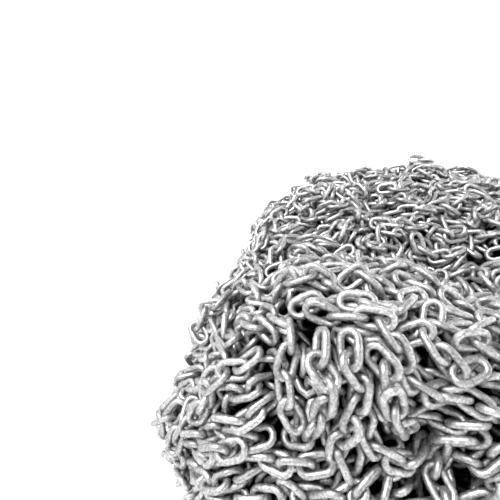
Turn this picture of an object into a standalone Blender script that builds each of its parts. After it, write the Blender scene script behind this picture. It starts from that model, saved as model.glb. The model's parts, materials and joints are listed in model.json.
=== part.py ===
"""Heap of galvanised steel chain, 5/16 in. proof-coil size, at its real size in metres, +Z up.

The top of the heap is made of chain runs: lengths of chain in which each link is hooked through the next
one and turned a quarter turn to it. They lie on a plain core that stands for the links hidden below them.
"""

import math

import bmesh
import bpy
import numpy as np
from mathutils import Matrix, Vector
from mathutils.bvhtree import BVHTree

# One link
WIRE = 0.0084
INSIDE_LENGTH = 0.028
OUTSIDE_WIDTH = 0.027
SIDES_OF_THE_WIRE = 4
POINTS_ROUND_A_LINK = 8
FACETED_WIRE = 1.12  # a wire of few sides is made this much thicker, to hold about the round wire's steel

# The heap without its top layer of chain
HALF_WIDTH = 0.343
HALF_DEPTH = 0.458
CORE_HEIGHT = 0.363
PLAN_ROUNDNESS = 3.0
FLANK_ROUNDNESS = 4.2
CORE_AROUND = 72
CORE_RINGS = 20

# Swellings and hollows of the heap: azimuth and elevation in degrees, height in metres, spread in degrees
LUMPS = (
    (228, 16, 0.064, 12.5),
    (247, 45, 0.062, 13),
    (268, 55, 0.035, 12),
    (270, 33, -0.085, 13),
    (290, 72, -0.095, 19),
    (200, 60, -0.040, 16),
    (290, 30, 0.018, 14),
    (330, 24, 0.012, 15),
    (20, 20, -0.012, 16),
    (50, 22, 0.014, 15),
    (80, 38, 0.035, 15),
    (115, 15, -0.014, 14),
    (150, 25, 0.012, 16),
    (205, 25, 0.012, 14),
)

# Swells all over the heap, where lengths of chain have piled up: their height in metres, and waves with so
# many radians a metre along X, Y and Z, and a start
SWELL = 0.006
SWELL_WAVES = ((44, 18, 11, 3.5), (-16, 40, 22, 6.2), (28, -32, 15, 5.0))

# How the chain lies: across the heap, drawn a little round it, and pulled another way near some places.
# Each pull has its middle, its direction, its spread in metres and its strength.
MAIN_LIE = (1, 0.29, 0)
ROUND_THE_HEAP = 0.25
FRONT_TO_BACK = 0.12
PULLS = (
    ((-0.122, -0.392, 0.336), (-0.55, -0.50, -0.90), 0.062, 3.6),
    ((-0.039, -0.282, 0.373), (0.3, -0.90, -0.1), 0.090, 0.4),
    ((0.040, -0.392, 0.225), (0.1, 0.50, 0.8), 0.080, 0.5),
    ((-0.269, -0.302, 0.292), (-0.3, -0.90, -0.3), 0.045, 1.2),
    ((-0.255, -0.419, 0.167), (0.0, 0.0, 1.0), 0.130, 2.3),
)

# How far the lie turns from place to place, in radians, in waves with so many radians a metre along X, Y
# and Z, and a start
WANDER = 0.3
WAVES = ((19, 11, 0, 0.4), (0, 16, -14, 1.3))

# The chain runs
LINKS_IN_A_RUN = (5, 15)
MOST_LINKS = 222
SEEDS = 900
SIDE_SPACING = 0.041
SNAKE = 0.45
SNAKE_LENGTH = 0.16
TRACE_STEP = 0.004
LOWEST_AXIS = 0.018
AXIS_HEIGHT = 0.0095
FIRST_ROLL = 45
ROLL_SPREAD = 20
ROLL_WANDER = 16
ROLL_WAVE = 2.1
SEAT_GAP = 0.0009
FREE_ROUNDS = 4
LIFTING_ROUNDS = 9
SKIN_CUTS = 5
FUSED_OVERLAP = 0.0016
MERGED_WITHIN = 0.00001
SHARP_EDGE = math.radians(60)

# Steps that never repeat, for spreading points, lengths and turns evenly
GOLDEN_ANGLE = math.pi * (3 - math.sqrt(5))
GOLDEN_SHARE = (math.sqrt(5) - 1) / 2

ZINC = (0.56, 0.57, 0.58, 1.0)
SHADED_ZINC = (0.07, 0.07, 0.075, 1.0)


def clear_scene():
    for obj in list(bpy.data.objects):
        bpy.data.objects.remove(obj)


def new_collection(name):
    made = bpy.data.collections.new(name)
    bpy.context.scene.collection.children.link(made)
    return made


def new_material(name, color, roughness, metallic):
    made = bpy.data.materials.new(name)
    made.use_nodes = True
    shader = made.node_tree.nodes["Principled BSDF"]
    shader.inputs["Base Color"].default_value = color
    shader.inputs["Roughness"].default_value = roughness
    shader.inputs["Metallic"].default_value = metallic
    return made


# Shape of the heap


def unit(rows):
    return rows / np.linalg.norm(rows, axis=-1, keepdims=True)


def direction(azimuth, elevation):
    a, e = math.radians(azimuth), math.radians(elevation)
    return np.array([math.cos(a) * math.cos(e), math.sin(a) * math.cos(e), math.sin(e)])


def core_radius(towards):
    """Distance from the heap's origin to the core's surface, along rows of unit directions."""
    x, y, z = np.abs(towards).T
    plan = (x / HALF_WIDTH) ** PLAN_ROUNDNESS + (y / HALF_DEPTH) ** PLAN_ROUNDNESS
    shape = plan ** (FLANK_ROUNDNESS / PLAN_ROUNDNESS) + (z / CORE_HEIGHT) ** FLANK_ROUNDNESS
    radius = shape ** (-1 / FLANK_ROUNDNESS)
    for azimuth, elevation, height, spread in LUMPS:
        angle = np.arccos(np.clip(towards @ direction(azimuth, elevation), -1, 1))
        radius = radius + height * np.exp(-((angle / math.radians(spread)) ** 2))
    waves = np.array(SWELL_WAVES)
    places = towards * radius[:, None]
    return radius + SWELL * np.sin(places @ waves[:, :3].T + waves[:, 3]).sum(axis=1)


def on_core(points):
    """The core's surface points in the directions of the given points, and the outward normals there."""
    u = unit(np.atleast_2d(points))
    side = unit(np.cross(u, [0.31, 0.17, 0.94]))
    up = np.cross(u, side)
    small = 1e-4
    a, b, c = (unit(v) * core_radius(unit(v))[:, None] for v in (u, u + small * side, u + small * up))
    normal = unit(np.cross(b - a, c - a))
    return a, normal * np.sign((normal * u).sum(axis=1))[:, None]


def lie_of_chain(point, normal):
    """The direction that the chain takes at a point of the heap, as a unit tangent."""
    x, y, z = point
    reach = math.hypot(x, y) + 1e-9
    around = ROUND_THE_HEAP * min(1, reach / HALF_WIDTH) * math.tanh(-y / FRONT_TO_BACK)
    lie = np.array(MAIN_LIE) + np.array([-y, x, 0]) / reach * around
    for middle, towards, spread, strength in PULLS:
        gap = np.linalg.norm(point - middle) / spread
        lie = lie + np.array(towards) * strength * math.exp(-gap * gap)
    lie = unit(lie - normal * (lie @ normal))
    turn = sum(math.sin(a * x + b * y + c * z + start) for a, b, c, start in WAVES) / len(WAVES)
    return turned(lie, normal, WANDER * turn)


def turned(lie, normal, angle):
    return lie * math.cos(angle) + np.cross(normal, lie) * math.sin(angle)


# Where the runs lie


def walk(start, forwards, length, taken, wave):
    """Points on the core along the chain's lie, until the length, the floor or a neighbour ends them."""
    points, heading = [start], forwards
    while len(points) * TRACE_STEP < length:
        foot, normal = (row[0] for row in on_core(points[-1]))
        lie = lie_of_chain(foot, normal)
        heading = lie if lie @ heading > 0 else -lie
        snake = SNAKE * math.sin(2 * math.pi * len(points) * TRACE_STEP / SNAKE_LENGTH + wave)
        after = on_core(foot + turned(heading, normal, snake) * TRACE_STEP)[0][0]
        near = len(taken) and np.linalg.norm(taken - after, axis=1).min() < SIDE_SPACING
        if near or after[2] < LOWEST_AXIS:
            break
        points.append(after)
    return points


def seed_points():
    """Points spread evenly over the core, above the lowest place that a run can have."""
    k = np.arange(SEEDS)
    height = (k + 0.5) / SEEDS
    flat = np.sqrt(1 - height * height)
    around = k * GOLDEN_ANGLE
    points = on_core(np.stack([np.cos(around) * flat, np.sin(around) * flat, height], axis=1))[0]
    return points[points[:, 2] > LOWEST_AXIS]


def run_axes():
    """The line of each run on the core. Each run starts where the core is barest."""
    axes, taken, links = [], np.zeros((0, 3)), 0
    seeds = seed_points()
    bare = np.full(len(seeds), np.inf)
    fewest, most = LINKS_IN_A_RUN
    while links < MOST_LINKS and bare.max() > SIDE_SPACING:
        k = int(np.argmax(bare))
        seed, normal = (row[0] for row in on_core(seeds[k]))
        length = INSIDE_LENGTH * (fewest + (most - fewest) * (len(axes) * GOLDEN_SHARE % 1))
        lie = lie_of_chain(seed, normal)
        wave = GOLDEN_ANGLE * len(axes)
        ahead = walk(seed, lie, length / 2, taken, wave)
        behind = walk(seed, -lie, length - len(ahead) * TRACE_STEP, taken, -wave)
        axis = np.array(behind[:0:-1] + ahead)
        if len(axis) * TRACE_STEP < fewest * INSIDE_LENGTH:
            bare[k] = 0
            continue
        axes.append(axis)
        links += int((len(axis) * TRACE_STEP - 2 * WIRE) / INSIDE_LENGTH)
        taken = np.concatenate([taken, axis])
        gaps = np.linalg.norm(seeds[:, None] - axis[None], axis=2).min(axis=1)
        bare = np.where(bare == 0, 0, np.minimum(bare, gaps))
    return axes


def hooks_along(axis):
    """Points along a run where its links hook into each other, evenly spaced and lifted off the core."""
    foot, normal = on_core(axis)
    raised = foot + normal * AXIS_HEIGHT
    along = np.concatenate([[0], np.cumsum(np.linalg.norm(np.diff(raised, axis=0), axis=1))])
    at = np.arange(WIRE, along[-1] - WIRE, INSIDE_LENGTH + FUSED_OVERLAP)
    hooks = np.stack([np.interp(at, along, raised[:, i]) for i in range(3)], axis=1)
    normals = np.stack([np.interp(at, along, normal[:, i]) for i in range(3)], axis=1)
    return hooks, unit(normals)


def link_frames(hooks, normals, roll_start):
    """A matrix for each link between two hooks: X along the run, Y across, a quarter turn on each time."""
    frames = []
    for i in range(len(hooks) - 1):
        x = Vector(hooks[i + 1] - hooks[i]).normalized()
        up = Vector(normals[i] + normals[i + 1])
        side = up.cross(x).normalized()
        roll = math.radians(roll_start + 90 * i + ROLL_WANDER * math.sin(ROLL_WAVE * i + roll_start))
        y = side * math.cos(roll) + x.cross(side) * math.sin(roll)
        frame = Matrix((x, y, x.cross(y))).transposed().to_4x4()
        frame.translation = Vector(hooks[i] + hooks[i + 1]) / 2
        frames.append(frame)
    return frames


def seat(hooks, normals, roll_start, skin, core_tree):
    """Moves a run's hooks until its links are just clear of the core: freely at first, then only up."""
    for number in range(FREE_ROUNDS + LIFTING_ROUNDS):
        lift = np.full(len(hooks), -np.inf)
        for i, frame in enumerate(link_frames(hooks, normals, roll_start)):
            depth = SEAT_GAP - min(height_over(frame @ p, core_tree) for p in skin)
            lift[i] = max(lift[i], depth)
            lift[i + 1] = max(lift[i + 1], depth)
        if number >= FREE_ROUNDS:
            lift = np.maximum(lift, 0)
        hooks = hooks + normals * lift[:, None]
    return hooks


def height_over(point, core_tree):
    foot, normal, _, distance = core_tree.find_nearest(point)
    return distance if (point - foot).dot(normal) > 0 else -distance


# Solids


def skin_points(shape):
    """Points close together all over a mesh."""
    skin = bmesh.new()
    skin.from_mesh(shape)
    bmesh.ops.subdivide_edges(skin, edges=skin.edges, cuts=SKIN_CUTS, use_grid_fill=True)
    points = [vertex.co.copy() for vertex in skin.verts]
    skin.free()
    return points


def link_shape(name):
    """One link as a mesh: a ring of wire, whose two halves are drawn apart."""
    bpy.ops.mesh.primitive_torus_add(
        major_segments=POINTS_ROUND_A_LINK,
        minor_segments=SIDES_OF_THE_WIRE,
        major_radius=(OUTSIDE_WIDTH - WIRE) / 2,
        minor_radius=WIRE * FACETED_WIRE / 2,
    )
    ring = bpy.context.object
    half_straight = (INSIDE_LENGTH + 2 * WIRE - OUTSIDE_WIDTH) / 2
    half_a_point = Matrix.Rotation(math.pi / POINTS_ROUND_A_LINK, 4, "Z")
    for vertex in ring.data.vertices:
        vertex.co = half_a_point @ vertex.co
        vertex.co.x += math.copysign(half_straight, vertex.co.x)
    shape = ring.data.copy()
    shape.name = name
    bpy.data.objects.remove(ring)
    return shape


def links_as_one_mesh(name, shape, frames):
    joined = bmesh.new()
    for frame in frames:
        before = len(joined.verts)
        joined.from_mesh(shape)
        joined.verts.ensure_lookup_table()
        bmesh.ops.transform(joined, matrix=frame, verts=joined.verts[before:])
    mesh = bpy.data.meshes.new(name)
    joined.to_mesh(mesh)
    joined.free()
    return mesh


def shell_from(first):
    """The vertices that can be reached along edges from one of them."""
    reached, waiting = {first}, [first]
    while waiting:
        for edge in waiting.pop().link_edges:
            for vertex in edge.verts:
                if vertex not in reached:
                    reached.add(vertex)
                    waiting.append(vertex)
    return reached


def fill_pockets(mesh):
    """Fills the tiny closed pockets that facets leave between two wires: only the outer surface stays."""
    run = bmesh.new()
    run.from_mesh(mesh)
    shells, left = [], set(run.verts)
    while left:
        shell = shell_from(min(left, key=lambda vertex: vertex.index))
        shells.append(shell)
        left -= shell
    outer = max(shells, key=len)
    bmesh.ops.delete(run, geom=[v for v in run.verts if v not in outer], context="VERTS")
    bmesh.ops.remove_doubles(run, verts=run.verts, dist=MERGED_WITHIN)
    run.to_mesh(mesh)
    run.free()


def add_run(name, shape, frames, finish, parts):
    """One chain run: its even links, with its odd links joined on where the wires press together."""
    run = bpy.data.objects.new(name, links_as_one_mesh(name, shape, frames[::2]))
    odd_links = bpy.data.objects.new(name + "_odd_links", links_as_one_mesh(name, shape, frames[1::2]))
    parts.objects.link(run)
    parts.objects.link(odd_links)
    union = run.modifiers.new("hooked links", "BOOLEAN")
    union.operation = "UNION"
    union.object = odd_links
    graph = bpy.context.evaluated_depsgraph_get()
    run.data = bpy.data.meshes.new_from_object(run.evaluated_get(graph))
    run.data.name = name
    run.modifiers.clear()
    bpy.data.objects.remove(odd_links)
    fill_pockets(run.data)
    run.data.materials.clear()
    run.data.materials.append(finish)
    run.data.shade_smooth()
    run.data.set_sharp_from_angle(angle=SHARP_EDGE)


def add_core(finish, parts):
    """The plain inner heap: half a sphere, drawn out to the heap's surface, with a flat foot."""
    dome = bmesh.new()
    bmesh.ops.create_uvsphere(dome, u_segments=CORE_AROUND, v_segments=2 * CORE_RINGS, radius=1)
    below = [vertex for vertex in dome.verts if vertex.co.z < -MERGED_WITHIN]
    bmesh.ops.delete(dome, geom=below, context="VERTS")
    rim = [edge for edge in dome.edges if edge.is_boundary]
    bmesh.ops.contextual_create(dome, geom=rim)
    for vertex in dome.verts:
        towards = unit(np.array([vertex.co]))
        vertex.co = vertex.co.normalized() * core_radius(towards)[0]
    bmesh.ops.triangulate(dome, faces=[face for face in dome.faces if len(face.verts) == 4])
    bmesh.ops.recalc_face_normals(dome, faces=dome.faces)
    mesh = bpy.data.meshes.new("heap_core")
    dome.to_mesh(mesh)
    dome.free()
    core = bpy.data.objects.new("heap_core", mesh)
    mesh.materials.append(finish)
    parts.objects.link(core)
    mesh.shade_smooth()
    mesh.set_sharp_from_angle(angle=SHARP_EDGE)
    return core


def tree_of(mesh):
    """The mesh's faces, ready for finding the one nearest to a point."""
    corners = [vertex.co.copy() for vertex in mesh.vertices]
    return BVHTree.FromPolygons(corners, [face.vertices[:] for face in mesh.polygons])


def main():
    clear_scene()
    parts = new_collection("chain_heap")
    zinc = new_material("galvanised_steel", ZINC, 0.42, 0.9)
    shaded = new_material("hidden_chain", SHADED_ZINC, 0.6, 0.9)
    core_tree = tree_of(add_core(shaded, parts).data)
    shape = link_shape("link")
    skin = skin_points(shape)
    for number, axis in enumerate(run_axes(), start=1):
        hooks, normals = hooks_along(axis)
        roll_start = FIRST_ROLL + ROLL_SPREAD * (number * GOLDEN_SHARE % 1 - 0.5)
        hooks = seat(hooks, normals, roll_start, skin, core_tree)
        add_run(f"chain_run_{number:02d}", shape, link_frames(hooks, normals, roll_start), zinc, parts)


main()
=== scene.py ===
"""Looks of a heap of galvanised steel chain: single links of round wire, in layers over a dark middle, a
near-black dome of painted shade that stands for the shade deep inside the heap.

The links of the frame's chain runs stay where the frame has them. The rest of the chain is laid strand by
strand in layers over, between and below them, and then settled: links push each other apart where they
touch, are drawn back to the neighbours that they hook into, and sink towards the middle of the heap.
Lengths are in metres.
"""

import json
import math

import bmesh
import bpy
import numpy as np
from mathutils import Matrix, Vector
from mathutils.bvhtree import BVHTree

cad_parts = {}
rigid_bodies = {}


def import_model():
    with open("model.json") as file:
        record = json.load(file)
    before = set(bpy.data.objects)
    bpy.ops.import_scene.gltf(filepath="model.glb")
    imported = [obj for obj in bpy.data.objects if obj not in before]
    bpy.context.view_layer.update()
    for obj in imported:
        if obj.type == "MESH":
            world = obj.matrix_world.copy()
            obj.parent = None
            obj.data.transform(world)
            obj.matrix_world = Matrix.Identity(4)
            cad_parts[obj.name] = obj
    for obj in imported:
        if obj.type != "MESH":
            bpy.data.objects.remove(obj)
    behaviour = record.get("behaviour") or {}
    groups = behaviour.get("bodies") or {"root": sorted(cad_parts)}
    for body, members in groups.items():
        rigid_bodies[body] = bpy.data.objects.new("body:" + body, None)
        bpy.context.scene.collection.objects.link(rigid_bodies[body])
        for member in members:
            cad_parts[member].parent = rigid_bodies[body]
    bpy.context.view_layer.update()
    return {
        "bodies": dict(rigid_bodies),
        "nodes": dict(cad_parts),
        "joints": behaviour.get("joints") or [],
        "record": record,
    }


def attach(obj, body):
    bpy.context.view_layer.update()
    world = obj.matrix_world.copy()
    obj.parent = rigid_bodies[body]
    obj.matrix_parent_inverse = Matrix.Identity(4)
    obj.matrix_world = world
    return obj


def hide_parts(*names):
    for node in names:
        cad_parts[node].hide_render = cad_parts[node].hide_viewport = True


# One link, with the inside end of its eye, where it holds the next link when the chain is tight
WIRE = 0.0084
INSIDE_LENGTH = 0.028
OUTSIDE_WIDTH = 0.027
HALF_STRAIGHT = (INSIDE_LENGTH + 2 * WIRE - OUTSIDE_WIDTH) / 2
END_RADIUS = (OUTSIDE_WIDTH - WIRE) / 2
HOOK = (INSIDE_LENGTH / 2, 0, 0)

# The weld on one side of a link, and where along it the wire has points, in lengths of the weld
WELD_RISE = 0.0007
WELD_LENGTH = 0.0022
WELD_POINTS = (2.2, 1, 0, -1, -2.2)

# How finely links are made: points round each end, sides of the wire, and whether they have a weld
FINE_LINK = (7, 9, True)
MIDDLING_LINK = (5, 7, False)
COARSE_LINK = (4, 6, False)
COARSEST_LINK = (4, 5, False)

# How links differ from each other: share of their size, and twist in radians a metre
SIZE_RANGE = (0.975, 1.025)
TWIST = 1.6

# The plain link of the frame's runs
SIDES_OF_THE_WIRE = 4
POINTS_ROUND_A_LINK = 8
FACETED_WIRE = 1.12

# The heap without its top layer of chain, and the runs of chain on it, as in the frame
HALF_WIDTH = 0.343
HALF_DEPTH = 0.458
CORE_HEIGHT = 0.363
PLAN_ROUNDNESS = 3.0
FLANK_ROUNDNESS = 4.2

# Swellings and hollows of the heap: azimuth and elevation in degrees, height in metres, spread in degrees
LUMPS = (
    (228, 16, 0.064, 12.5),
    (247, 45, 0.062, 13),
    (268, 55, 0.035, 12),
    (270, 33, -0.085, 13),
    (290, 72, -0.095, 19),
    (200, 60, -0.040, 16),
    (290, 30, 0.018, 14),
    (330, 24, 0.012, 15),
    (20, 20, -0.012, 16),
    (50, 22, 0.014, 15),
    (80, 38, 0.035, 15),
    (115, 15, -0.014, 14),
    (150, 25, 0.012, 16),
    (205, 25, 0.012, 14),
)

# Swells all over the heap, where lengths of chain have piled up: their height in metres, and waves with so
# many radians a metre along X, Y and Z, and a start
SWELL = 0.006
SWELL_WAVES = ((44, 18, 11, 3.5), (-16, 40, 22, 6.2), (28, -32, 15, 5.0))

# How the chain lies: across the heap, drawn a little round it, and pulled another way near some places.
# Each pull has its middle, its direction, its spread in metres and its strength.
MAIN_LIE = (1, 0.29, 0)
ROUND_THE_HEAP = 0.25
FRONT_TO_BACK = 0.12
PULLS = (
    ((-0.122, -0.392, 0.336), (-0.55, -0.50, -0.90), 0.062, 3.6),
    ((-0.039, -0.282, 0.373), (0.3, -0.90, -0.1), 0.090, 0.4),
    ((0.040, -0.392, 0.225), (0.1, 0.50, 0.8), 0.080, 0.5),
    ((-0.269, -0.302, 0.292), (-0.3, -0.90, -0.3), 0.045, 1.2),
    ((-0.255, -0.419, 0.167), (0.0, 0.0, 1.0), 0.130, 2.3),
)

# How far the lie turns from place to place, in radians, in waves with so many radians a metre along X, Y
# and Z, and a start
WANDER = 0.3
WAVES = ((19, 11, 0, 0.4), (0, 16, -14, 1.3))

# The chain runs: their length and number, where they lie, how their links are rolled, in degrees, and how
# they are seated on the core
LINKS_IN_A_RUN = (5, 15)
MOST_LINKS = 222
SEEDS = 900
SIDE_SPACING = 0.041
SNAKE = 0.45
SNAKE_LENGTH = 0.16
TRACE_STEP = 0.004
LOWEST_AXIS = 0.018
AXIS_HEIGHT = 0.0095
FIRST_ROLL = 45
ROLL_SPREAD = 20
ROLL_WANDER = 16
ROLL_WAVE = 2.1
SEAT_GAP = 0.0009
FREE_ROUNDS = 4
LIFTING_ROUNDS = 9
SKIN_CUTS = 5
FUSED_OVERLAP = 0.0016

# Steps that never repeat, for spreading points, lengths and turns evenly
GOLDEN_ANGLE = math.pi * (3 - math.sqrt(5))
GOLDEN_SHARE = (math.sqrt(5) - 1) / 2

# Small values that keep a divisor from being zero, the step for finding normals, and a slanting direction
# that tangents are found with, in which no point lies exactly
NEVER_ZERO = 1e-9
NO_LENGTH = 1e-12
SMALL_STEP = 1e-4
ASLANT = (0.31, 0.17, 0.94)

# The layers of loose chain: how far their strands lie above the frame's core, how far they are turned from
# the main lie, in radians, how far apart they lie, and how far each round of settling draws them in
# (the first two lie on top, with the runs)
LAYERS = (
    (0.038, 1.0, 0.062, 0.00012),
    (0.016, 0.0, 0.0190, 0.00003),
    (-0.004, 0.6, 0.0190, 0.00002),
    (-0.024, -0.5, 0.0230, 0.00001),
)
LAYERS_ON_TOP = 2

# How deep below the core's surface the links stop sinking, and how the loose chain swells, in waves
MIDDLE_INSET = 0.043
RELIEF = 0.0022
RELIEF_WAVES = ((92, 31, 23, 0.4), (-29, 87, 46, 2.1), (63, -68, 37, 4.4))

# The strands: the step from hook to hook, the fewest hooks, the range that their most hooks are drawn from,
# how they turn, snake and dip, how their links are rolled, in degrees, and the bends, in radians, that they
# try when a neighbour is in the way
STRAND_PITCH = 0.0195
FEWEST_HOOKS = 3
LONGEST_STRAND = (3, 24)
STRAND_TURN = 0.24
STRAND_SNAKE = (0.2, 0.8)
STRAND_SNAKE_LENGTH = (0.08, 0.18)
STRAND_DIP = (0.003, 0.011)
STRAND_DIP_LENGTH = (0.07, 0.14)
STRAND_ROLL = (20, 70)
BENDS = (0, 0.4, -0.4, 0.8, -0.8)

# The start of the random draws, how many places a layer's strands may start at, and room for their hooks
RANDOM_SEED = 5
LAYER_SEEDS = 3200
MOST_HOOKS = 8000

# Where strands stray: hardly near the first pull, more behind a line across the heap
CALM_SPREAD = 0.06
WILD_BEHIND = -0.22
WILD_FADE = 0.04
WILD = 1.4

# Settling: a link's balls, its radius of gyration, how far hooks may part, how many rounds there are, and
# the most that a link moves in one, in metres and radians
BEADS = 16
BEAD_RADIUS = WIRE / 2
NEAR_MARGIN = 0.0022
GYRATION = 0.0123
HOOK_SLACK = 0.009
ROUNDS = 260
LAST_ROUNDS = 40
SEARCH_EVERY = 5
EAGERNESS = 1.3
LONGEST_MOVE = 0.0006
LARGEST_TURN = 0.05
FLOOR_GAP = 0.0005

# Which loose links on top are made finely, by how the heap faces the camera and by their distance from it
LEAST_FACING = -0.2
FINE_WITHIN = 0.8
MOST_TRIANGLES = 195000

# The dark middle, a near-black dome of painted shade: its segments, and how far it lies inside the lowest
# chain and above the floor
MIDDLE_SEGMENTS = 96
MIDDLE_RINGS = 64
MIDDLE_GAP = 0.001
MIDDLE_LIFT = 0.0002

# Painted shade deep between the links: how deep the zinc lies where its colour is painted darkest, in full
# shade, and how high it lies where it is left bright
FULL_PAINTED_SHADE_LEVEL = -0.013
NO_PAINTED_SHADE_LEVEL = 0.001

# The floor and the wall round it
FLOOR_REACH = 7
WALL_RADIUS = 4
WALL_HEIGHT = 9
FLOOR_BEND = 16
FLOOR_AROUND = 96
FLOOR_WELD = 0.001

# The lights: azimuth and elevation that they come from, their angle, all in degrees, and their strength
TOP_LIGHT = (205, 62, 30, 6.0)
FRONT_LIGHT = (247, 26, 20, 4.9)
WORLD_GREY = 0.9
WORLD_STRENGTH = 0.02

# The camera, in the photograph's place
CAMERA_PLACE = (-0.145, -0.65, 0.64)
CAMERA_TILT = 29
CAMERA_YAW = -16.3
CAMERA_LENS = 25.9
CAMERA_CLIP = 0.01


# Shape of the heap


def unit(rows):
    return rows / np.linalg.norm(rows, axis=-1, keepdims=True)


def direction(azimuth, elevation):
    a, e = math.radians(azimuth), math.radians(elevation)
    return np.array([math.cos(a) * math.cos(e), math.sin(a) * math.cos(e), math.sin(e)])


def core_radius(towards):
    """Distance from the heap's origin to the core's surface, along rows of unit directions."""
    x, y, z = np.abs(towards).T
    plan = (x / HALF_WIDTH) ** PLAN_ROUNDNESS + (y / HALF_DEPTH) ** PLAN_ROUNDNESS
    shape = plan ** (FLANK_ROUNDNESS / PLAN_ROUNDNESS) + (z / CORE_HEIGHT) ** FLANK_ROUNDNESS
    radius = shape ** (-1 / FLANK_ROUNDNESS)
    for azimuth, elevation, height, spread in LUMPS:
        angle = np.arccos(np.clip(towards @ direction(azimuth, elevation), -1, 1))
        radius = radius + height * np.exp(-((angle / math.radians(spread)) ** 2))
    waves = np.array(SWELL_WAVES)
    places = towards * radius[:, None]
    return radius + SWELL * np.sin(places @ waves[:, :3].T + waves[:, 3]).sum(axis=1)


def on_core(points):
    """The core's surface points in the directions of the given points, and the outward normals there."""
    u = unit(np.atleast_2d(points))
    side = unit(np.cross(u, ASLANT))
    up = np.cross(u, side)
    around = (u, u + SMALL_STEP * side, u + SMALL_STEP * up)
    a, b, c = (unit(v) * core_radius(unit(v))[:, None] for v in around)
    normal = unit(np.cross(b - a, c - a))
    return a, normal * np.sign((normal * u).sum(axis=1))[:, None]


def lie_of_chain(point, normal):
    """The direction that the chain takes at a point of the heap, as a unit tangent."""
    x, y, z = point
    reach = math.hypot(x, y) + NEVER_ZERO
    around = ROUND_THE_HEAP * min(1, reach / HALF_WIDTH) * math.tanh(-y / FRONT_TO_BACK)
    lie = np.array(MAIN_LIE) + np.array([-y, x, 0]) / reach * around
    for middle, towards, spread, strength in PULLS:
        gap = np.linalg.norm(point - middle) / spread
        lie = lie + np.array(towards) * strength * math.exp(-gap * gap)
    lie = unit(lie - normal * (lie @ normal))
    turn = sum(math.sin(a * x + b * y + c * z + start) for a, b, c, start in WAVES) / len(WAVES)
    return turned(lie, normal, WANDER * turn)


def turned(lie, normal, angle):
    return lie * math.cos(angle) + np.cross(normal, lie) * math.sin(angle)


# Where the runs lie


def walk(start, forwards, length, taken, wave):
    """Points on the core along the chain's lie, until the length, the floor or a neighbour ends them."""
    points, heading = [start], forwards
    while len(points) * TRACE_STEP < length:
        foot, normal = (row[0] for row in on_core(points[-1]))
        lie = lie_of_chain(foot, normal)
        heading = lie if lie @ heading > 0 else -lie
        snake = SNAKE * math.sin(2 * math.pi * len(points) * TRACE_STEP / SNAKE_LENGTH + wave)
        after = on_core(foot + turned(heading, normal, snake) * TRACE_STEP)[0][0]
        near = len(taken) and np.linalg.norm(taken - after, axis=1).min() < SIDE_SPACING
        if near or after[2] < LOWEST_AXIS:
            break
        points.append(after)
    return points


def seed_points(count=SEEDS):
    """Points spread evenly over the core, above the lowest place that a run can have."""
    k = np.arange(count)
    height = (k + 0.5) / count
    flat = np.sqrt(1 - height * height)
    around = k * GOLDEN_ANGLE
    points = on_core(np.stack([np.cos(around) * flat, np.sin(around) * flat, height], axis=1))[0]
    return points[points[:, 2] > LOWEST_AXIS]


def run_axes():
    """The line of each run on the core. Each run starts where the core is barest."""
    axes, taken, links = [], np.zeros((0, 3)), 0
    seeds = seed_points()
    bare = np.full(len(seeds), np.inf)
    fewest, most = LINKS_IN_A_RUN
    while links < MOST_LINKS and bare.max() > SIDE_SPACING:
        k = int(np.argmax(bare))
        seed, normal = (row[0] for row in on_core(seeds[k]))
        length = INSIDE_LENGTH * (fewest + (most - fewest) * (len(axes) * GOLDEN_SHARE % 1))
        lie = lie_of_chain(seed, normal)
        wave = GOLDEN_ANGLE * len(axes)
        ahead = walk(seed, lie, length / 2, taken, wave)
        behind = walk(seed, -lie, length - len(ahead) * TRACE_STEP, taken, -wave)
        axis = np.array(behind[:0:-1] + ahead)
        if len(axis) * TRACE_STEP < fewest * INSIDE_LENGTH:
            bare[k] = 0
            continue
        axes.append(axis)
        links += int((len(axis) * TRACE_STEP - 2 * WIRE) / INSIDE_LENGTH)
        taken = np.concatenate([taken, axis])
        gaps = np.linalg.norm(seeds[:, None] - axis[None], axis=2).min(axis=1)
        bare = np.where(bare == 0, 0, np.minimum(bare, gaps))
    return axes


def hooks_along(axis):
    """Points along a run where its links hook into each other, evenly spaced and lifted off the core."""
    foot, normal = on_core(axis)
    raised = foot + normal * AXIS_HEIGHT
    along = np.concatenate([[0], np.cumsum(np.linalg.norm(np.diff(raised, axis=0), axis=1))])
    at = np.arange(WIRE, along[-1] - WIRE, INSIDE_LENGTH + FUSED_OVERLAP)
    hooks = np.stack([np.interp(at, along, raised[:, i]) for i in range(3)], axis=1)
    normals = np.stack([np.interp(at, along, normal[:, i]) for i in range(3)], axis=1)
    return hooks, unit(normals)


def link_frames(hooks, normals, roll_start):
    """A matrix for each link between two hooks: X along the run, Y across, a quarter turn on each time."""
    frames = []
    for i in range(len(hooks) - 1):
        x = Vector(hooks[i + 1] - hooks[i]).normalized()
        up = Vector(normals[i] + normals[i + 1])
        side = up.cross(x).normalized()
        roll = math.radians(roll_start + 90 * i + ROLL_WANDER * math.sin(ROLL_WAVE * i + roll_start))
        y = side * math.cos(roll) + x.cross(side) * math.sin(roll)
        frame = Matrix((x, y, x.cross(y))).transposed().to_4x4()
        frame.translation = Vector(hooks[i] + hooks[i + 1]) / 2
        frames.append(frame)
    return frames


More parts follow.
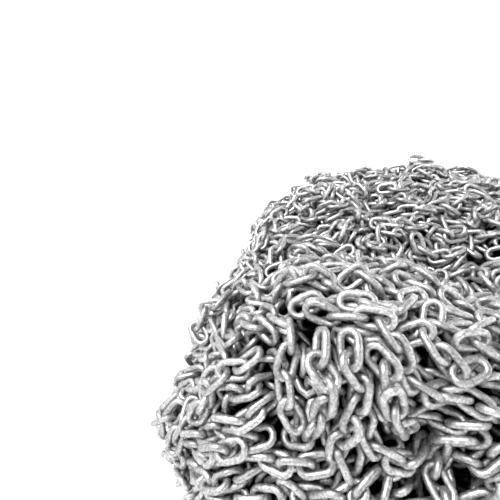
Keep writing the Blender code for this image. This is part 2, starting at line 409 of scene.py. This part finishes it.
def seat(hooks, normals, roll_start, skin, core_tree):
    """Moves a run's hooks until its links are just clear of the core: freely at first, then only up."""
    for number in range(FREE_ROUNDS + LIFTING_ROUNDS):
        lift = np.full(len(hooks), -np.inf)
        for i, frame in enumerate(link_frames(hooks, normals, roll_start)):
            depth = SEAT_GAP - min(height_over(frame @ p, core_tree) for p in skin)
            lift[i] = max(lift[i], depth)
            lift[i + 1] = max(lift[i + 1], depth)
        if number >= FREE_ROUNDS:
            lift = np.maximum(lift, 0)
        hooks = hooks + normals * lift[:, None]
    return hooks


def height_over(point, core_tree):
    foot, normal, _, distance = core_tree.find_nearest(point)
    return distance if (point - foot).dot(normal) > 0 else -distance


def faceted_skin():
    """Points close together all over the frame's plain link, which its runs are seated by."""
    bpy.ops.mesh.primitive_torus_add(
        major_segments=POINTS_ROUND_A_LINK,
        minor_segments=SIDES_OF_THE_WIRE,
        major_radius=END_RADIUS,
        minor_radius=WIRE * FACETED_WIRE / 2,
    )
    ring = bpy.context.object
    half_a_point = Matrix.Rotation(math.pi / POINTS_ROUND_A_LINK, 4, "Z")
    for vertex in ring.data.vertices:
        vertex.co = half_a_point @ vertex.co
        vertex.co.x += math.copysign(HALF_STRAIGHT, vertex.co.x)
    skin = bmesh.new()
    skin.from_mesh(ring.data)
    bmesh.ops.subdivide_edges(skin, edges=skin.edges, cuts=SKIN_CUTS, use_grid_fill=True)
    points = [vertex.co.copy() for vertex in skin.verts]
    skin.free()
    bpy.data.objects.remove(ring)
    return points


def runs_of_the_frame(core):
    """For each chain run of the frame, the matrices of its links."""
    points = [vertex.co.copy() for vertex in core.data.vertices]
    core_tree = BVHTree.FromPolygons(points, [face.vertices[:] for face in core.data.polygons])
    skin = faceted_skin()
    runs = []
    for number, axis in enumerate(run_axes(), start=1):
        hooks, normals = hooks_along(axis)
        roll_start = FIRST_ROLL + ROLL_SPREAD * (number * GOLDEN_SHARE % 1 - 0.5)
        hooks = seat(hooks, normals, roll_start, skin, core_tree)
        runs.append(link_frames(hooks, normals, roll_start))
    return runs


# Laying the loose chain


class Links:
    """All links: their middles, turns and layers, whether each is fixed, and which hook into which."""

    def __init__(self):
        self.middles, self.turns, self.fixed, self.layers, self.pairs = [], [], [], [], []
        self.normals, self.levels = None, None

    def add_strand(self, frames, layer, fixed):
        first = len(self.middles)
        for frame in frames:
            self.middles.append(np.array(frame.translation))
            self.turns.append(np.array(frame.to_3x3()))
            self.fixed.append(fixed)
            self.layers.append(layer)
        self.pairs += [(k, k + 1) for k in range(first, len(self.middles) - 1)]

    def freeze(self):
        self.middles, self.turns = np.array(self.middles), np.array(self.turns)
        self.fixed, self.layers = np.array(self.fixed), np.array(self.layers)
        self.pairs = np.array(self.pairs)

    def measure(self):
        """Finds the core's normal at each link, and the link's height over the swelling of its layer."""
        foot, self.normals = on_core(self.middles)
        self.levels = ((self.middles - foot) * self.normals).sum(axis=1) - relief(foot)


class Taken:
    """The places of the hooks laid so far in one layer."""

    def __init__(self, points):
        self.points, self.count = np.zeros((MOST_HOOKS, 3)), 0
        self.add(points)

    def add(self, points):
        self.points[self.count : self.count + len(points)] = points
        self.count += len(points)

    def room(self, point):
        if not self.count:
            return math.inf
        return np.linalg.norm(self.points[: self.count] - point, axis=1).min()


class Strand:
    """How one strand of loose chain strays from the lie: a turn, a snaking and a dipping of its own."""

    def __init__(self, layer_turn, spacing, random):
        self.turn = layer_turn + random.normal(0, STRAND_TURN)
        self.spacing = spacing
        self.snake = random.uniform(*STRAND_SNAKE)
        self.wave = 2 * math.pi * STRAND_PITCH / random.uniform(*STRAND_SNAKE_LENGTH)
        self.start = random.uniform(0, 2 * math.pi)
        self.most = int(random.integers(*LONGEST_STRAND))
        self.dip = random.uniform(*STRAND_DIP)
        self.dip_wave = 2 * math.pi * STRAND_PITCH / random.uniform(*STRAND_DIP_LENGTH)

    def lie(self, foot, normal):
        return turned(lie_of_chain(foot, normal), normal, self.turn * disorder(foot))

    def heights(self, count):
        """How far each of its hooks rises above the layer's level."""
        return self.dip * np.sin(self.dip_wave * np.arange(count) + self.start)

    def grow(self, start, forwards, taken):
        """Hooks on the core, a link apart, bending away from chain that is there, until they are shut in."""
        foot, normal = (row[0] for row in on_core(start))
        hooks, point, heading = [], start, forwards * self.lie(foot, normal)
        for k in range(self.most // 2):
            foot, normal = (row[0] for row in on_core(point))
            lie = self.lie(foot, normal)
            heading = lie if lie @ heading > 0 else -lie
            snake = self.snake * disorder(foot) * math.sin(forwards * k * self.wave + self.start)
            ways = np.array([turned(heading, normal, snake + bend) for bend in BENDS])
            ends = on_core(foot + ways * STRAND_PITCH)[0]
            free = [end for end in ends if end[2] > LOWEST_AXIS and taken.room(end) > self.spacing]
            if not free:
                break
            heading = free[0] - foot
            point = free[0]
            hooks.append(point)
        return hooks


def disorder(point):
    """How freely strands stray from the lie: hardly where chain hangs in front, most on the top and back."""
    gap = np.linalg.norm(point - PULLS[0][0]) / CALM_SPREAD
    behind = 1 / (1 + math.exp((WILD_BEHIND - point[1]) / WILD_FADE))
    return (1 + WILD * behind) * (1 - math.exp(-gap * gap))


def relief(points):
    """How far the loose chain swells above its even level, at rows of points."""
    waves = np.array(RELIEF_WAVES)
    return RELIEF * np.sin(points @ waves[:, :3].T + waves[:, 3]).sum(axis=1)


def lay_layer(links, layer, fixed_places, random):
    """Lays strands over the heap until no start has room, clear of the fixed places."""
    height, layer_turn, spacing, _ = LAYERS[layer]
    taken = Taken(fixed_places)
    seeds = seed_points(LAYER_SEEDS)
    for seed in seeds[random.permutation(len(seeds))]:
        if taken.room(seed) < spacing:
            continue
        strand = Strand(layer_turn, spacing, random)
        ahead, behind = strand.grow(seed, 1, taken), strand.grow(seed, -1, taken)
        places = np.array(behind[::-1] + [seed] + ahead)
        if len(places) < FEWEST_HOOKS:
            continue
        taken.add(places)
        foot, normals = on_core(places)
        rise = height + relief(foot) + strand.heights(len(foot))
        hooks = foot + normals * rise[:, None]
        links.add_strand(link_frames(hooks, normals, random.uniform(*STRAND_ROLL)), layer, False)


# Settling the chain


def link_beads():
    """Points equally far apart along the middle of a link's wire."""
    side, bend = 2 * HALF_STRAIGHT, math.pi * END_RADIUS
    points = []
    for k in range(BEADS):
        at = (k + 0.5) / BEADS * 2 * (side + bend)
        half, at = divmod(at, side + bend)
        if at < side:
            x, y = at - HALF_STRAIGHT, -END_RADIUS
        else:
            angle = (at - side) / END_RADIUS - math.pi / 2
            x, y = HALF_STRAIGHT + math.cos(angle) * END_RADIUS, math.sin(angle) * END_RADIUS
        points.append((-x, -y, 0) if half else (x, y, 0))
    return np.array(points)


def near_pairs(points, owner, reach):
    """Pairs of points of different links within reach of each other, found by sorting them into cells."""
    cell = np.floor((points - points.min(axis=0)) / reach).astype(np.int64) + 1
    wide, high = cell[:, 1].max() + 2, cell[:, 2].max() + 2
    key = (cell[:, 0] * wide + cell[:, 1]) * high + cell[:, 2]
    order = np.argsort(key, kind="stable")
    cells, start, count = np.unique(key[order], return_index=True, return_counts=True)
    firsts, seconds = [], []
    for step in half_of_the_neighbours(wide, high):
        found = np.searchsorted(cells, cells + step)
        found = np.minimum(found, len(cells) - 1)
        here = np.nonzero(cells[found] == cells + step)[0]
        there = found[here]
        pairs = count[here] * count[there]
        which = np.repeat(np.arange(len(here)), pairs)
        inside = np.arange(len(which)) - np.repeat(np.cumsum(pairs) - pairs, pairs)
        i = start[here][which] + inside // count[there][which]
        j = start[there][which] + inside % count[there][which]
        if step == 0:
            keep = i < j
            i, j = i[keep], j[keep]
        firsts.append(order[i])
        seconds.append(order[j])
    a, b = np.concatenate(firsts), np.concatenate(seconds)
    apart = points[a] - points[b]
    keep = (owner[a] != owner[b]) & ((apart * apart).sum(axis=1) < reach * reach)
    return a[keep], b[keep]


def half_of_the_neighbours(wide, high):
    """Key steps from a cell to itself and to 13 of the 26 cells around it."""
    steps = [0]
    for x in (-1, 0, 1):
        for y in (-1, 0, 1):
            for z in (-1, 0, 1):
                if (x, y, z) > (0, 0, 0):
                    steps.append((x * wide + y) * high + z)
    return steps


def turn_matrices(vectors):
    """Rotation matrices for rows of rotation vectors."""
    angle = np.linalg.norm(vectors, axis=1) + NO_LENGTH
    x, y, z = (vectors / angle[:, None]).T
    zero = np.zeros_like(x)
    cross = np.stack([zero, -z, y, z, zero, -x, -y, x, zero], axis=1).reshape(-1, 3, 3)
    s, c = np.sin(angle)[:, None, None], np.cos(angle)[:, None, None]
    return np.eye(3) + s * cross + (1 - c) * (cross @ cross)


class Moves:
    """The moves and turns that the contacts of one round ask of each link."""

    def __init__(self, links):
        self.links, self.count = links, len(links.middles)
        self.free = np.where(links.fixed, 0.0, 1.0)
        self.sums = np.zeros((self.count, 7))

    def weight(self, owner, arm, along):
        """How readily each owner gives way along a direction, and the turn that goes with it."""
        turn = np.cross(arm, along)
        return self.free[owner] * (1 + (turn * turn).sum(axis=1) / GYRATION**2), turn

    def push(self, owner, turn, along, size):
        """Adds a push of the given size along a direction, with its turning effect, to each owner."""
        free = self.free[owner]
        move = along * (size * free)[:, None]
        spin = turn * (size * free)[:, None] / GYRATION**2
        for axis in range(3):
            self.sums[:, axis] += np.bincount(owner, move[:, axis], self.count)
            self.sums[:, 3 + axis] += np.bincount(owner, spin[:, axis], self.count)
        self.sums[:, 6] += np.bincount(owner, minlength=self.count)

    def contact(self, a, b, arm_a, arm_b, along, depth):
        """Parts links a and b along a direction by depth, each with its share."""
        weight_a, turn_a = self.weight(a, arm_a, along)
        weight_b, turn_b = self.weight(b, arm_b, along)
        size = depth / (weight_a + weight_b + NEVER_ZERO)
        self.push(a, turn_a, along, size)
        self.push(b, turn_b, along, -size)

    def ground(self, a, arm, along, depth):
        """Moves links a off something that doesn't give way."""
        weight, turn = self.weight(a, arm, along)
        self.push(a, turn, along, depth / (weight + NEVER_ZERO))

    def apply(self, extra):
        """Moves each link by a little more than the mean of what its contacts ask, and by an extra move."""
        share = EAGERNESS / np.maximum(self.sums[:, 6], 1)
        move = self.sums[:, :3] * share[:, None] + extra
        turn = self.sums[:, 3:6] * share[:, None]
        length = np.linalg.norm(move, axis=1, keepdims=True) + NO_LENGTH
        move *= np.minimum(1, LONGEST_MOVE / length) * self.free[:, None]
        length = np.linalg.norm(turn, axis=1, keepdims=True) + NO_LENGTH
        turn *= np.minimum(1, LARGEST_TURN / length)
        self.links.middles += move
        self.links.turns = turn_matrices(turn) @ self.links.turns


def settle(links):
    """Moves the loose links until they lie against each other."""
    beads = link_beads()
    owner = np.repeat(np.arange(len(links.middles)), BEADS)
    pull = np.array([layer[3] for layer in LAYERS])[links.layers]
    rounds = ROUNDS
    for number in range(rounds + LAST_ROUNDS):
        arms = np.einsum("nij,kj->nki", links.turns, beads).reshape(-1, 3)
        points = links.middles[owner] + arms
        if number % SEARCH_EVERY == 0:
            a, b = near_pairs(points, owner, 2 * BEAD_RADIUS + NEAR_MARGIN)
            foot, normal = on_core(links.middles)
            height = ((links.middles - foot) * normal).sum(axis=1) - relief(foot)
            base = links.middles.copy()
        moves = Moves(links)
        part_beads(moves, points, arms, owner, a, b)
        hold_hooks(moves, links)
        level = height + ((links.middles - base) * normal).sum(axis=1)
        keep_out_of_the_middle(moves, arms, owner, normal, level)
        keep_above_the_floor(moves, points, arms, owner)
        moves.apply(-normal * pull[:, None] * (number < rounds))
    lift_off_the_floor(links, beads)


def part_beads(moves, points, arms, owner, a, b):
    """Parts links whose wires press into each other."""
    apart = points[a] - points[b]
    distance = np.sqrt((apart * apart).sum(axis=1)) + NO_LENGTH
    touch = distance < 2 * BEAD_RADIUS
    a, b, distance = a[touch], b[touch], distance[touch]
    along = apart[touch] / distance[:, None]
    moves.contact(owner[a], owner[b], arms[a], arms[b], along, 2 * BEAD_RADIUS - distance)


def hold_hooks(moves, links):
    """Draws together the ends of links that hook into each other, where they have come too far apart."""
    a, b = links.pairs.T
    hook = np.array(HOOK)
    arm_a, arm_b = links.turns[a] @ hook, -(links.turns[b] @ hook)
    apart = (links.middles[b] + arm_b) - (links.middles[a] + arm_a)
    distance = np.linalg.norm(apart, axis=1) + NO_LENGTH
    loose = distance > HOOK_SLACK
    along = (apart / distance[:, None])[loose]
    moves.contact(a[loose], b[loose], arm_a[loose], arm_b[loose], along, distance[loose] - HOOK_SLACK)


def keep_out_of_the_middle(moves, arms, owner, normal, level):
    """Raises links that have sunk into the heap's dark middle."""
    rise = (arms * normal[owner]).sum(axis=1)
    depth = BEAD_RADIUS - MIDDLE_INSET - (level[owner] + rise)
    low = np.nonzero(depth > 0)[0]
    moves.ground(owner[low], arms[low], normal[owner[low]], depth[low])


def keep_above_the_floor(moves, points, arms, owner):
    low = np.nonzero(points[:, 2] < BEAD_RADIUS)[0]
    up = np.tile([0.0, 0.0, 1.0], (len(low), 1))
    moves.ground(owner[low], arms[low], up, BEAD_RADIUS - points[low, 2])


def lift_off_the_floor(links, beads):
    """Raises the loose links that settling has left a little in the floor."""
    lowest = links.middles[:, 2] + np.einsum("nj,kj->nk", links.turns[:, 2], beads).min(axis=1)
    rise = np.maximum(BEAD_RADIUS + FLOOR_GAP - lowest, 0)
    links.middles[:, 2] += np.where(links.fixed, 0, rise)


# Meshes


def link_stations(bends, welded):
    """Points round the middle of a link's wire, with the outward direction and the thickening at each."""
    stations = []
    for end in (1, -1):
        for angle in np.linspace(-math.pi / 2, math.pi / 2, bends):
            out = np.array([math.cos(angle), math.sin(angle), 0]) * end
            stations.append((out * END_RADIUS + [end * HALF_STRAIGHT, 0, 0], out, 0.0))
        if end == 1 and welded:
            for x in (place * WELD_LENGTH for place in WELD_POINTS):
                rise = WELD_RISE * math.exp(-((x / WELD_LENGTH) ** 2))
                stations.append((np.array([x, END_RADIUS, 0]), np.array([0.0, 1.0, 0.0]), rise))
    return stations


def link_template(bends, sides, welded):
    """Vertices and faces of one link of round wire."""
    stations = link_stations(bends, welded)
    points = []
    for middle, out, rise in stations:
        for k in range(sides):
            angle = 2 * math.pi * k / sides
            section = out * math.cos(angle) + np.array([0, 0, math.sin(angle)])
            points.append(middle + section * (WIRE / 2 + rise))
    faces = []
    for i in range(len(stations)):
        after = (i + 1) % len(stations)
        for k in range(sides):
            beside = (k + 1) % sides
            faces.append((i * sides + k, after * sides + k, after * sides + beside, i * sides + beside))
    return np.array(points), np.array(faces)


def varied(points, count, random):
    """The points of so many links, each a little larger or smaller and twisted along its length."""
    size = random.uniform(*SIZE_RANGE, (count, 1, 3))
    twist = random.normal(0, TWIST, (count, 1))
    shaped = points[None] * size
    x, y, z = shaped[:, :, 0], shaped[:, :, 1], shaped[:, :, 2]
    lean = twist * x
    return np.stack([x, y - lean * z, z + lean * y], axis=2)


def quad_mesh(name, points, quads):
    mesh = bpy.data.meshes.new(name)
    mesh.vertices.add(len(points))
    mesh.vertices.foreach_set("co", points.astype(np.float32).ravel())
    mesh.loops.add(quads.size)
    mesh.loops.foreach_set("vertex_index", quads.astype(np.int32).ravel())
    mesh.polygons.add(len(quads))
    mesh.polygons.foreach_set("loop_start", np.arange(0, quads.size, 4, dtype=np.int32))
    mesh.update(calc_edges=True)
    mesh.shade_smooth()
    return mesh


def add_values(mesh, name, values):
    """Keeps a number at each point of a mesh, for its material."""
    mesh.attributes.new(name, "FLOAT", "POINT").data.foreach_set("value", values.astype(np.float32).ravel())


def joined_links(name, links, chosen, template, material, random):
    """One mesh of the chosen links."""
    points, faces = template
    shaped = varied(points, len(chosen), random)
    arms = np.einsum("nij,nkj->nki", links.turns[chosen], shaped)
    placed = arms + links.middles[chosen][:, None]
    quads = (faces[None] + (np.arange(len(chosen)) * len(points))[:, None, None]).reshape(-1, 4)
    mesh = quad_mesh(name, placed.reshape(-1, 3), quads)
    lift = np.einsum("nki,ni->nk", arms, links.normals[chosen])
    # The level of each point, which the painted shade in the zinc's colour follows
    add_values(mesh, "level", links.levels[chosen][:, None] + lift)
    add_values(mesh, "link_tone", np.repeat(random.uniform(0, 1, len(chosen)), len(points)))
    mesh.materials.append(material)
    return add_object(name, mesh)


def add_object(name, data):
    made = bpy.data.objects.new(name, data)
    bpy.context.scene.collection.objects.link(made)
    return made


def dark_middle(material):
    """The hidden middle of the heap, a near-black dome of painted shade, seen only as darkness between the
    links.
    """
    dome = bmesh.new()
    bmesh.ops.create_uvsphere(dome, u_segments=MIDDLE_SEGMENTS, v_segments=MIDDLE_RINGS, radius=1)
    below = [vertex for vertex in dome.verts if vertex.co.z < -SMALL_STEP]
    bmesh.ops.delete(dome, geom=below, context="VERTS")
    bmesh.ops.contextual_create(dome, geom=[edge for edge in dome.edges if edge.is_boundary])
    towards = unit(np.array([vertex.co for vertex in dome.verts]))
    reach = core_radius(towards)
    reach += relief(towards * reach[:, None]) - MIDDLE_INSET - MIDDLE_GAP
    for vertex, place in zip(dome.verts, towards * reach[:, None]):
        vertex.co = place
        vertex.co.z = max(vertex.co.z, MIDDLE_LIFT)
    bmesh.ops.recalc_face_normals(dome, faces=dome.faces)
    mesh = bpy.data.meshes.new("heap_middle")
    dome.to_mesh(mesh)
    dome.free()
    mesh.shade_smooth()
    mesh.materials.append(material)
    return add_object("heap_middle", mesh)


# Materials


def new_material(name):
    """A material, its node tree and its shader."""
    made = bpy.data.materials.new(name)
    made.use_nodes = True
    return made, made.node_tree, made.node_tree.nodes["Principled BSDF"]


def new_node(tree, kind, **values):
    """A node with the given settings and input values."""
    node = tree.nodes.new(kind)
    for name, value in values.items():
        if hasattr(node, name):
            setattr(node, name, value)
        else:
            node.inputs[name.replace("_", " ")].default_value = value
    return node


def color_ramp(tree, factor, *stops):
    """Greys that follow a factor, by stops of a place and a grey."""
    ramp = tree.nodes.new("ShaderNodeValToRGB")
    while len(ramp.color_ramp.elements) < len(stops):
        ramp.color_ramp.elements.new(0.5)
    for element, (place, grey) in zip(ramp.color_ramp.elements, stops):
        element.position = place
        element.color = (grey, grey, grey, 1)
    tree.links.new(factor, ramp.inputs["Fac"])
    return ramp.outputs["Color"]


def mixed(tree, first, second):
    """The product of two colours."""
    mix = new_node(tree, "ShaderNodeMix", data_type="RGBA", blend_type="MULTIPLY")
    mix.inputs[0].default_value = 1
    tree.links.new(first, mix.inputs[6])
    tree.links.new(second, mix.inputs[7])
    return mix.outputs[2]


def zinc_material():
    """Mottled zinc, a little different on each link, with shade painted into its colour: it goes dark deep
    between the links.
    """
    made, tree, shader = new_material("zinc_coat")
    place = tree.nodes.new("ShaderNodeTexCoord").outputs["Object"]
    mottle = new_node(tree, "ShaderNodeTexNoise", Scale=330.0, Detail=5.0, Roughness=0.62)
    cloud = new_node(tree, "ShaderNodeTexNoise", Scale=60.0, Detail=3.0, Roughness=0.5)
    grain = new_node(tree, "ShaderNodeTexNoise", Scale=1500.0, Detail=3.0, Roughness=0.6)
    for texture in (mottle, cloud, grain):
        tree.links.new(place, texture.inputs["Vector"])
    tone = new_node(tree, "ShaderNodeAttribute", attribute_name="link_tone")
    # Painted shade: each point's level below the top of the loose chain, mapped from full shade to none,
    # darkens the zinc's colour towards black
    level = new_node(tree, "ShaderNodeAttribute", attribute_name="level")
    height = new_node(tree, "ShaderNodeMapRange", interpolation_type="SMOOTHSTEP")
    height.inputs["From Min"].default_value = FULL_PAINTED_SHADE_LEVEL
    height.inputs["From Max"].default_value = NO_PAINTED_SHADE_LEVEL
    tree.links.new(level.outputs["Fac"], height.inputs["Value"])
    base = color_ramp(tree, mottle.outputs["Fac"], (0.34, 0.31), (0.50, 0.53), (0.66, 0.76))
    soft = color_ramp(tree, cloud.outputs["Fac"], (0.35, 0.82), (0.65, 1.0))
    each = color_ramp(tree, tone.outputs["Fac"], (0.0, 0.76), (1.0, 1.0))
    painted_shade = color_ramp(tree, height.outputs["Result"], (0.0, 0.02), (1.0, 1.0))
    color = mixed(tree, mixed(tree, mixed(tree, base, soft), each), painted_shade)
    tree.links.new(color, shader.inputs["Base Color"])
    rough = color_ramp(tree, mottle.outputs["Fac"], (0.35, 0.54), (0.65, 0.40))
    tree.links.new(rough, shader.inputs["Roughness"])
    shader.inputs["Metallic"].default_value = 0.9
    shader.inputs["Specular Tint"].default_value = (0.45, 0.45, 0.45, 1)
    bump = new_node(tree, "ShaderNodeBump", Strength=0.35, Distance=0.0004)
    tree.links.new(grain.outputs["Fac"], bump.inputs["Height"])
    tree.links.new(bump.outputs["Normal"], shader.inputs["Normal"])
    return made


def painted_shade_material():
    # Painted shade: a blotched near-black colour that stands for the shade deep inside the heap
    made, tree, shader = new_material("painted_deep_shade")
    place = tree.nodes.new("ShaderNodeTexCoord").outputs["Object"]
    blots = new_node(tree, "ShaderNodeTexNoise", Scale=45.0, Detail=4.0)
    tree.links.new(place, blots.inputs["Vector"])
    color = color_ramp(tree, blots.outputs["Fac"], (0.4, 0.004), (0.7, 0.03))
    tree.links.new(color, shader.inputs["Base Color"])
    bump = new_node(tree, "ShaderNodeBump", Strength=0.8, Distance=0.01)
    tree.links.new(blots.outputs["Fac"], bump.inputs["Height"])
    tree.links.new(bump.outputs["Normal"], shader.inputs["Normal"])
    shader.inputs["Roughness"].default_value = 0.8
    return made


# Stage


def add_floor():
    """A pale floor that rises into a wall all round, far out, without an edge."""
    room = bmesh.new()
    rows = [(0, 0), (FLOOR_REACH, 0)]
    for k in range(1, FLOOR_BEND + 1):
        angle = math.pi / 2 * k / FLOOR_BEND
        rows.append((FLOOR_REACH + WALL_RADIUS * math.sin(angle), WALL_RADIUS * (1 - math.cos(angle))))
    rows.append((FLOOR_REACH + WALL_RADIUS, WALL_HEIGHT))
    rim = [room.verts.new((reach, 0, height)) for reach, height in rows]
    line = [room.edges.new(pair) for pair in zip(rim, rim[1:])]
    round_turn = {"axis": (0, 0, 1), "cent": (0, 0, 0), "steps": FLOOR_AROUND, "angle": 2 * math.pi}
    bmesh.ops.spin(room, geom=rim + line, **round_turn)
    bmesh.ops.remove_doubles(room, verts=room.verts, dist=FLOOR_WELD)
    mesh = bpy.data.meshes.new("floor")
    room.to_mesh(mesh)
    room.free()
    mesh.shade_smooth()
    made, _, shader = new_material("floor")
    shader.inputs["Base Color"].default_value = (0.95, 0.95, 0.95, 1)
    shader.inputs["Roughness"].default_value = 1
    shader.inputs["Specular IOR Level"].default_value = 0
    mesh.materials.append(made)
    floor = add_object("floor", mesh)


def add_sun(name, azimuth, elevation, angle, power):
    """A soft far light that comes from the given direction."""
    light = bpy.data.lights.new(name, "SUN")
    light.angle = math.radians(angle)
    light.energy = power
    towards = Vector(direction(azimuth, elevation))
    add_object(name, light).rotation_euler = towards.to_track_quat("Z", "Y").to_euler()


def add_lights():
    add_sun("top light", *TOP_LIGHT)
    add_sun("front light", *FRONT_LIGHT)
    bpy.context.scene.view_settings.view_transform = "Standard"
    world = bpy.data.worlds.new("studio")
    bpy.context.scene.world = world
    world.use_nodes = True
    background = world.node_tree.nodes["Background"]
    background.inputs["Color"].default_value = (WORLD_GREY, WORLD_GREY, WORLD_GREY, 1)
    background.inputs["Strength"].default_value = WORLD_STRENGTH


def add_camera():
    camera = bpy.data.cameras.new("camera")
    camera.lens = CAMERA_LENS
    camera.clip_start = CAMERA_CLIP
    holder = add_object("camera", camera)
    holder.location = CAMERA_PLACE
    holder.rotation_euler = (math.radians(90 - CAMERA_TILT), 0, math.radians(-CAMERA_YAW))
    bpy.context.scene.camera = holder


# The heap


def shown_large(links):
    """Which links lie near the camera on a side of the heap that it sees, and so are made finely."""
    view = np.array(CAMERA_PLACE) - links.middles
    distance = np.linalg.norm(view, axis=1)
    facing = (view * links.normals).sum(axis=1) / distance
    return (facing > LEAST_FACING) & (distance < FINE_WITHIN)


def lay_chain(core, random):
    """All links where they come to rest, and where each of the frame's runs starts and ends among them."""
    links, spans = Links(), []
    for run in runs_of_the_frame(core):
        spans.append((len(links.middles), len(links.middles) + len(run)))
        links.add_strand(run, 0, True)
    run_places = on_core(np.array(links.middles))[0]
    for layer in range(len(LAYERS)):
        lay_layer(links, layer, run_places if layer < LAYERS_ON_TOP else run_places[:0], random)
    links.freeze()
    settle(links)
    links.measure()
    return links, spans


def add_runs(links, spans, zinc, random):
    """The chain runs of the frame, link by link."""
    template = link_template(*FINE_LINK)
    for number, span in enumerate(spans, start=1):
        name = f"chain_length_{number:02d}"
        piece = joined_links(name, links, np.arange(*span), template, zinc, random)
        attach(piece, "root")
        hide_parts(f"chain_run_{number:02d}")


def add_loose_chain(links, zinc, random):
    """All other links, in groups by how finely they are made, each in pieces that aren't too large."""
    loose, on_top, large = ~links.fixed, links.layers < LAYERS_ON_TOP, shown_large(links)
    groups = {
        "top_chain_near": (loose & on_top & large, FINE_LINK),
        "top_chain_far": (loose & on_top & ~large, MIDDLING_LINK),
        "second_chain": (loose & (links.layers == 2), COARSE_LINK),
        "third_chain": (loose & (links.layers == 3), COARSEST_LINK),
    }
    for name, (mask, fineness) in groups.items():
        chosen, template = np.nonzero(mask)[0], link_template(*fineness)
        most = MOST_TRIANGLES // (2 * len(template[1]))
        for part, first in enumerate(range(0, len(chosen), most), start=1):
            some = chosen[first : first + most]
            piece = joined_links(f"{name}_{part}", links, some, template, zinc, random)
            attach(piece, "root")
            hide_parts("heap_core")


def add_middle():
    middle = dark_middle(painted_shade_material())
    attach(middle, "root")
    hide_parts("heap_core")


def main():
    for thing in list(bpy.data.objects):
        bpy.data.objects.remove(thing)
    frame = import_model()
    add_camera()
    random = np.random.default_rng(RANDOM_SEED)
    links, spans = lay_chain(frame["nodes"]["heap_core"], random)
    zinc = zinc_material()
    add_runs(links, spans, zinc, random)
    add_loose_chain(links, zinc, random)
    add_middle()
    add_floor()
    add_lights()


main()
